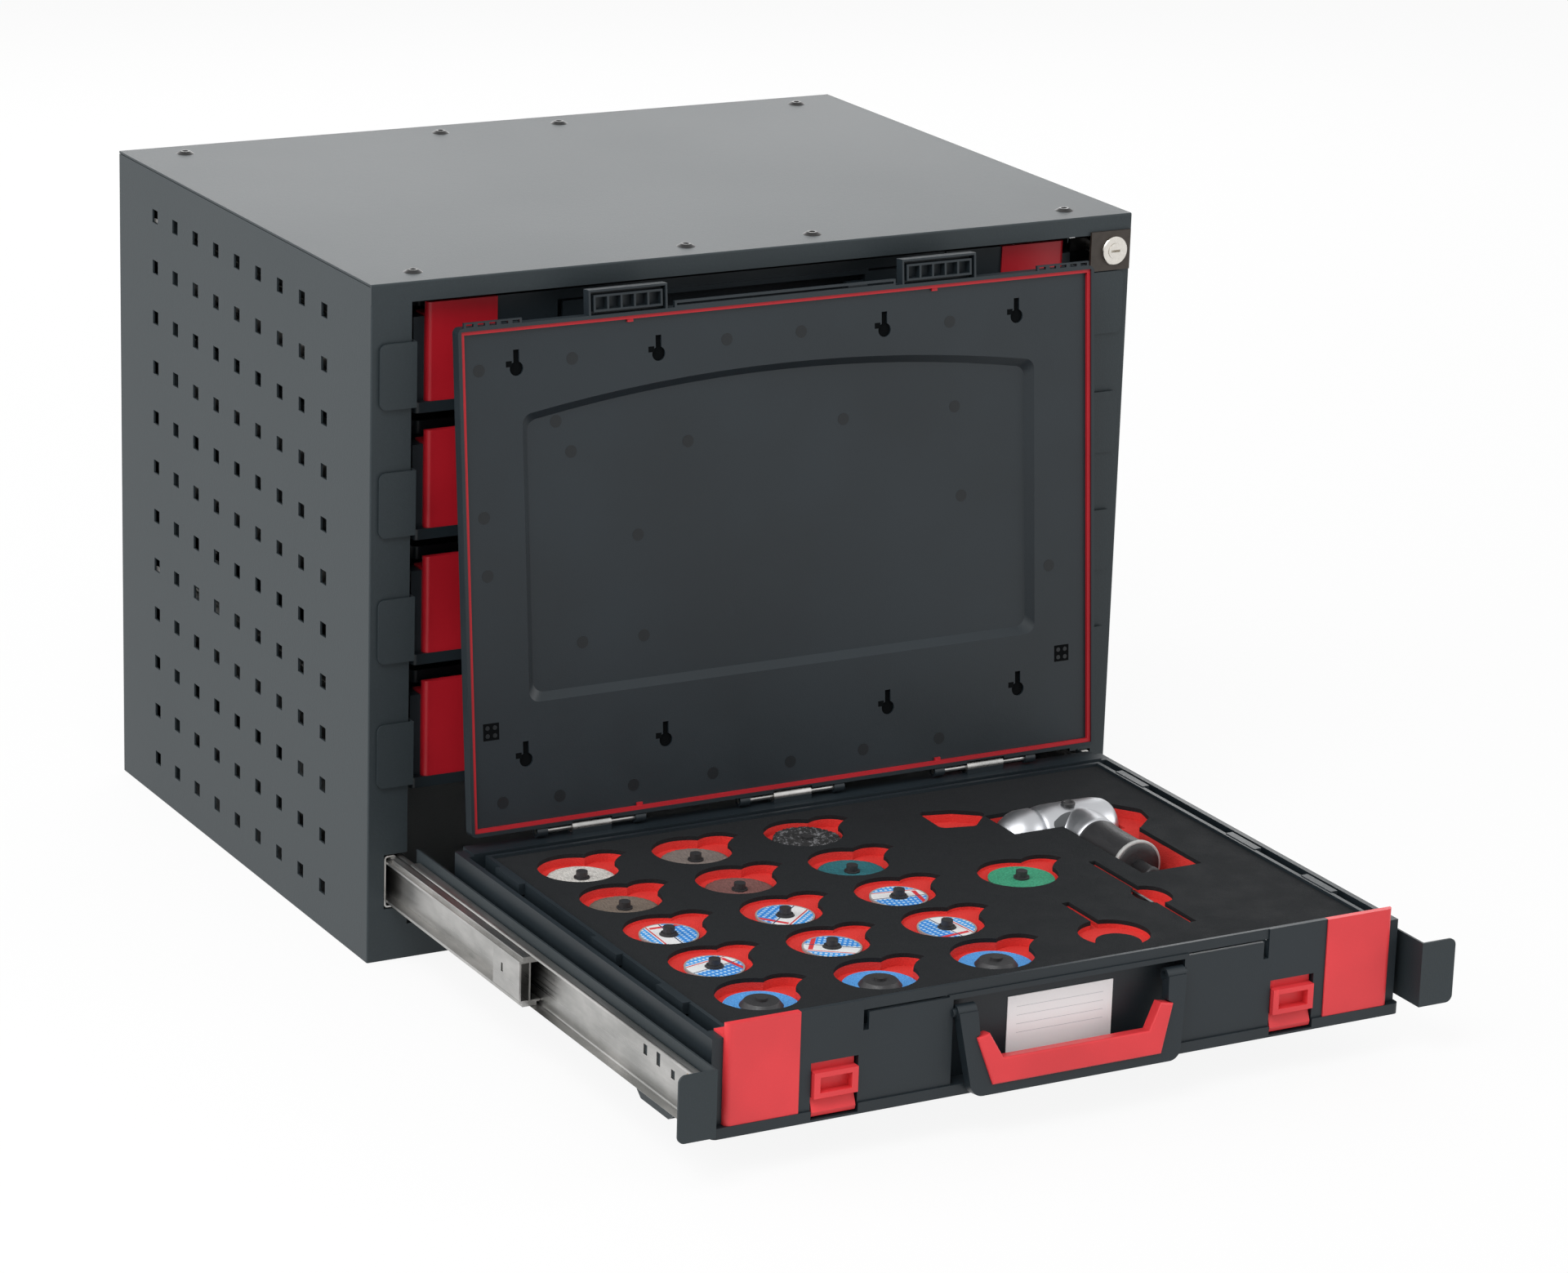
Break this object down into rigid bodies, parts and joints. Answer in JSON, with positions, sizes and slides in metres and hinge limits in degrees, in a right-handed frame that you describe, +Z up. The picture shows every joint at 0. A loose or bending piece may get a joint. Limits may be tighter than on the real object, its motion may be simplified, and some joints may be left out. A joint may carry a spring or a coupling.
{
  "type": "case storage rack",
  "caption": "Perforated steel rack for flat tool cases on full-extension rails, with the lowest case drawn out and open.",
  "frame": {"origin": "middle of the underside of the cabinet's bottom sheet", "axes": "+X to the right seen from the front, +Y to the back, +Z up; drawers run out along -Y"},
  "size_m": [0.6, 0.9026, 0.4859],
  "materials": {
    "cabinet_paint": "fine-textured anthracite powder coat",
    "rail_steel": "bright zinc plated",
    "screw_steel": "black oxide",
    "bracket_steel": "dark bronze passivated",
    "nickel": "nickel plated",
    "case_plastic": "moulded, satin with a fine grain",
    "red_plastic": "moulded, satin",
    "red_seal": "matt",
    "red_foam": "closed-cell foam",
    "black_foam": "closed-cell foam",
    "label_card": "matt card",
    "abrasive": "coated abrasive",
    "blue_abrasive": "coated abrasive",
    "fleece": "coarse nonwoven",
    "dark_rubber": "matt",
    "tool_metal": "satin"
  },
  "bodies": {
    "cabinet": {"left_side_panel": "cabinet_paint", "right_side_panel": "cabinet_paint", "top_panel": "cabinet_paint", "bottom_panel": "cabinet_paint", "front_uprights": "cabinet_paint", "rear_frame": "cabinet_paint", "back_panel": "cabinet_paint", "rail_posts": "cabinet_paint", "top_fixings": "screw_steel", "cabinet_rails": "rail_steel", "lock_plate": "bracket_steel", "lock_housing": "nickel"},
    "lock": {"lock_core": "nickel", "lock_cam": "screw_steel"},
    "middle_1": {"middle_rails_1": "rail_steel"},
    "drawer_1": {"drawer_rails_1": "rail_steel", "arms_1": "cabinet_paint", "case_1_shell": "case_plastic", "case_1_trim": "red_plastic", "case_1_handle": "case_plastic"},
    "middle_2": {"middle_rails_2": "rail_steel"},
    "drawer_2": {"drawer_rails_2": "rail_steel", "arms_2": "cabinet_paint", "case_2_shell": "case_plastic", "case_2_trim": "red_plastic", "case_2_handle": "case_plastic"},
    "middle_3": {"middle_rails_3": "rail_steel"},
    "drawer_3": {"drawer_rails_3": "rail_steel", "arms_3": "cabinet_paint", "case_3_shell": "case_plastic", "case_3_trim": "red_plastic", "case_3_handle": "case_plastic"},
    "middle_4": {"middle_rails_4": "rail_steel"},
    "drawer_4": {"drawer_rails_4": "rail_steel", "arms_4": "cabinet_paint", "case_4_shell": "case_plastic", "case_4_trim": "red_plastic", "case_4_handle": "case_plastic"},
    "middle_5": {"middle_rails_5": "rail_steel"},
    "drawer_5": {"drawer_rails_5": "rail_steel", "arms_5": "cabinet_paint", "open_case_base": "case_plastic", "hinge_pins": "rail_steel", "open_case_corners": "red_plastic", "case_label": "label_card", "foam_base": "red_foam", "foam_top": "black_foam", "printed_discs": "abrasive", "ring_discs": "blue_abrasive", "fleece_discs": "fleece", "disc_hubs": "dark_rubber", "tool_body": "tool_metal", "tool_grip": "dark_rubber", "hex_key": "screw_steel"},
    "lid": {"open_case_lid": "case_plastic", "lid_seal": "red_seal"},
    "handle": {"open_case_handle": "case_plastic", "handle_grip": "red_plastic"},
    "left_latch": {"latch_left": "red_plastic"},
    "right_latch": {"latch_right": "red_plastic"}
  },
  "joints": [
    {"name": "drawer_1_slide", "type": "slide", "parent": "cabinet", "child": "drawer_1", "axis": [0, -1, 0], "range_m": [0, 0.008]},
    {"name": "middle_1_slide", "type": "slide", "parent": "cabinet", "child": "middle_1", "axis": [0, -1, 0], "range_m": [0, 0.004]},
    {"name": "drawer_2_slide", "type": "slide", "parent": "cabinet", "child": "drawer_2", "axis": [0, -1, 0], "range_m": [0, 0.016]},
    {"name": "middle_2_slide", "type": "slide", "parent": "cabinet", "child": "middle_2", "axis": [0, -1, 0], "range_m": [0, 0.008]},
    {"name": "drawer_3_slide", "type": "slide", "parent": "cabinet", "child": "drawer_3", "axis": [0, -1, 0], "range_m": [0, 0.024]},
    {"name": "middle_3_slide", "type": "slide", "parent": "cabinet", "child": "middle_3", "axis": [0, -1, 0], "range_m": [0, 0.012]},
    {"name": "drawer_4_slide", "type": "slide", "parent": "cabinet", "child": "drawer_4", "axis": [0, -1, 0], "range_m": [0, 0.033]},
    {"name": "middle_4_slide", "type": "slide", "parent": "cabinet", "child": "middle_4", "axis": [0, -1, 0], "range_m": [0, 0.0165]},
    {"name": "drawer_5_slide", "type": "slide", "parent": "cabinet", "child": "drawer_5", "axis": [0, -1, 0], "range_m": [-0.008, 0]},
    {"name": "middle_5_slide", "type": "slide", "parent": "cabinet", "child": "middle_5", "axis": [0, -1, 0], "range_m": [-0.004, 0]},
    {"name": "lid_hinge", "type": "hinge", "parent": "drawer_5", "child": "lid", "pos_m": [0, -0.284, 0.102], "axis": [1, 0, 0], "range_deg": [0, 95.2]},
    {"name": "handle_swing", "type": "hinge", "parent": "drawer_5", "child": "handle", "pos_m": [0, -0.6605, 0.0865], "axis": [-1, 0, 0], "range_deg": [0, 82]},
    {"name": "left_latch_swing", "type": "hinge", "parent": "drawer_5", "child": "left_latch", "pos_m": [0, -0.657, 0.0365], "axis": [1, 0, 0], "range_deg": [0, 45]},
    {"name": "right_latch_swing", "type": "hinge", "parent": "drawer_5", "child": "right_latch", "pos_m": [0, -0.657, 0.0365], "axis": [1, 0, 0], "range_deg": [0, 45]},
    {"name": "lock_turn", "type": "hinge", "parent": "cabinet", "child": "lock", "pos_m": [0.285, -0.225, 0.458], "axis": [0, -1, 0], "range_deg": [0, 90]}
  ],
  "couplings": [
    {"joint": "middle_1_slide", "follows": "drawer_1_slide", "ratio": 0.5},
    {"joint": "middle_2_slide", "follows": "drawer_2_slide", "ratio": 0.5},
    {"joint": "middle_3_slide", "follows": "drawer_3_slide", "ratio": 0.5},
    {"joint": "middle_4_slide", "follows": "drawer_4_slide", "ratio": 0.5},
    {"joint": "middle_5_slide", "follows": "drawer_5_slide", "ratio": 0.5}
  ]
}
